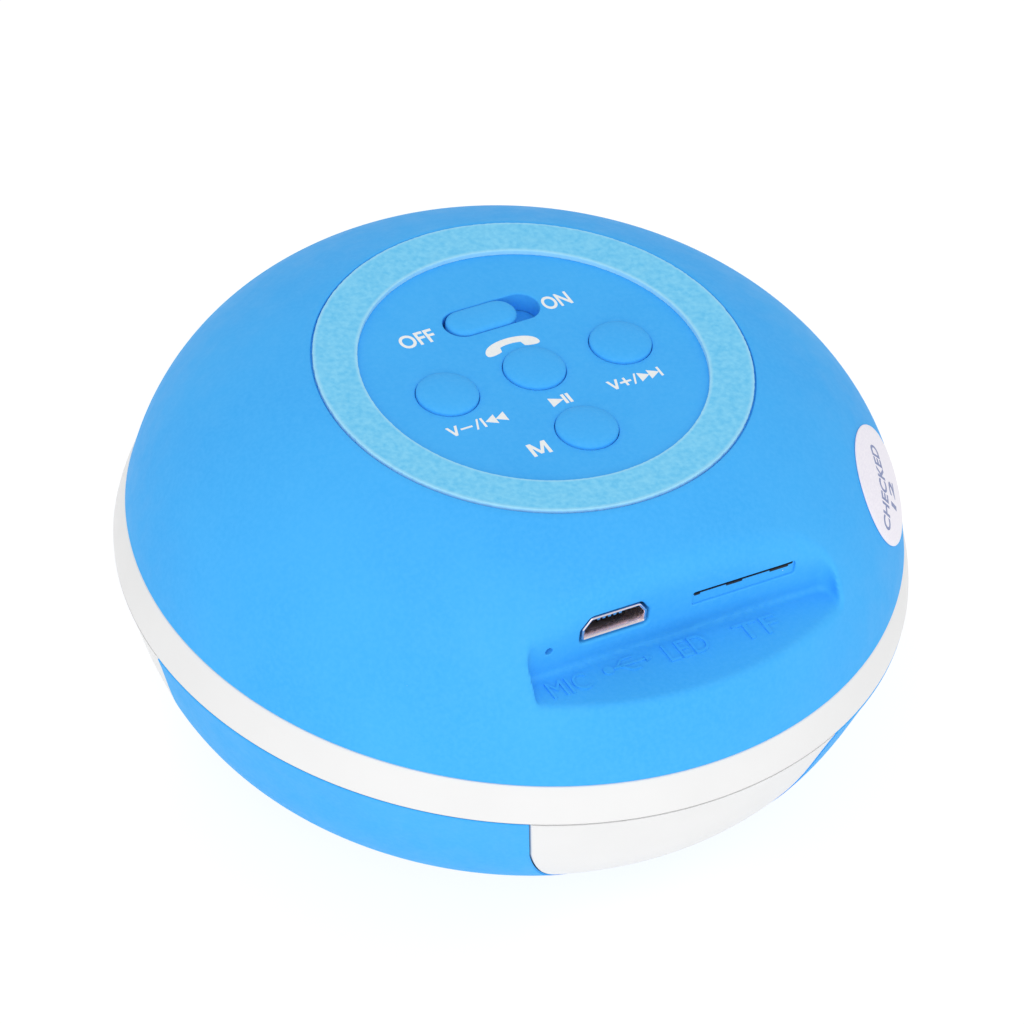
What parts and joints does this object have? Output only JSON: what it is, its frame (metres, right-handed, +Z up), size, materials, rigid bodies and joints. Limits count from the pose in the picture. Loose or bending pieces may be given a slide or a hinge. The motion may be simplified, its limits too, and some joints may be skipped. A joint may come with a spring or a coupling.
{
  "type": "shower speaker",
  "caption": "Round pocket shower speaker with a domed control side, push keys, a slide power switch, a port recess, a contrasting band and a perforated sound side.",
  "frame": {"origin": "centre of the flat rim of the grille bezel, which the speaker rests on with its controls up", "axes": "+Z up through the middle of the control panel, -Y towards the port recess, +X from the volume-down key to the volume-up key, as the legends read"},
  "size_m": [0.082, 0.082, 0.0444],
  "materials": {
    "soft_blue": "soft-touch matt, sky blue",
    "ring_rubber": "fine-grained matt, pale blue",
    "sticker_paper": "satin white label",
    "white_plastic": "smooth semi-gloss white",
    "seal_rubber": "translucent silicone grey",
    "grille_metal": "perforated sheet, satin white",
    "foam": "closed-cell foam, matt black",
    "steel": "plated steel, satin",
    "black_rubber": "matt black",
    "cone_paper": "pressed paper, black",
    "copper_wire": "enamelled copper winding",
    "spider_cloth": "resin-treated woven cloth",
    "ferrite": "sintered, dark grey",
    "circuit_board": "green solder mask",
    "black_plastic": "moulded, black",
    "led_lens": "clear lens",
    "battery_wrap": "aluminised pouch, grey",
    "lead_red": "insulation, red",
    "lead_black": "insulation, black"
  },
  "bodies": {
    "housing": {"upper_shell": "soft_blue", "anti_slip_ring": "ring_rubber", "inspection_sticker": "sticker_paper", "mid_band": "white_plastic", "shell_seal": "seal_rubber", "lower_shell": "white_plastic", "lower_cover": "soft_blue", "grille_bezel": "white_plastic", "speaker_grille": "grille_metal", "driver_gasket": "foam", "driver_basket": "steel", "driver_surround": "black_rubber", "driver_spider": "spider_cloth", "driver_top_plate": "steel", "driver_magnet": "ferrite", "driver_yoke": "steel", "main_board": "circuit_board", "audio_chip": "black_plastic", "usb_shell": "steel", "usb_tongue": "black_plastic", "card_socket": "steel", "microphone": "steel", "status_led": "led_lens", "battery": "battery_wrap", "battery_tape": "foam", "battery_connector": "white_plastic", "play_switch": "black_plastic", "volume_down_switch": "black_plastic", "volume_up_switch": "black_plastic", "mode_switch": "black_plastic", "power_switch": "steel", "board_screw_1": "steel", "board_screw_2": "steel", "board_screw_3": "steel", "board_screw_4": "steel", "seam_screw_1": "steel", "seam_screw_2": "steel", "seam_screw_3": "steel", "driver_screw_1": "steel", "driver_screw_2": "steel", "driver_screw_3": "steel", "speaker_lead_red": "lead_red", "speaker_lead_black": "lead_black", "battery_lead_red": "lead_red", "battery_lead_black": "lead_black"},
    "play_key": {"play_button": "soft_blue", "play_plunger": "black_plastic"},
    "volume_down_key": {"volume_down_button": "soft_blue", "volume_down_plunger": "black_plastic"},
    "volume_up_key": {"volume_up_button": "soft_blue", "volume_up_plunger": "black_plastic"},
    "mode_key": {"mode_button": "soft_blue", "mode_plunger": "black_plastic"},
    "power_slider": {"power_knob": "soft_blue", "power_lever": "black_plastic"},
    "speaker_motor": {"driver_cone": "cone_paper", "driver_dust_cap": "cone_paper", "voice_coil": "copper_wire"}
  },
  "joints": [
    {"name": "play_press", "type": "slide", "parent": "housing", "child": "play_key", "axis": [0, 0, -1], "range_m": [0, 0.0004], "stiffness_N_per_m": 2500},
    {"name": "volume_down_press", "type": "slide", "parent": "housing", "child": "volume_down_key", "axis": [0, 0, -1], "range_m": [0, 0.0004], "stiffness_N_per_m": 2500},
    {"name": "volume_up_press", "type": "slide", "parent": "housing", "child": "volume_up_key", "axis": [0, 0, -1], "range_m": [0, 0.0004], "stiffness_N_per_m": 2500},
    {"name": "mode_press", "type": "slide", "parent": "housing", "child": "mode_key", "axis": [0, 0, -1], "range_m": [0, 0.0004], "stiffness_N_per_m": 2500},
    {"name": "power_slide", "type": "slide", "parent": "housing", "child": "power_slider", "axis": [1, 0, 0], "range_m": [0, 0.0026]},
    {"name": "cone_travel", "type": "slide", "parent": "housing", "child": "speaker_motor", "axis": [0, 0, -1], "range_m": [-0.0005, 0.0005], "stiffness_N_per_m": 1500, "deforming": ["driver_surround", "driver_spider"]}
  ]
}
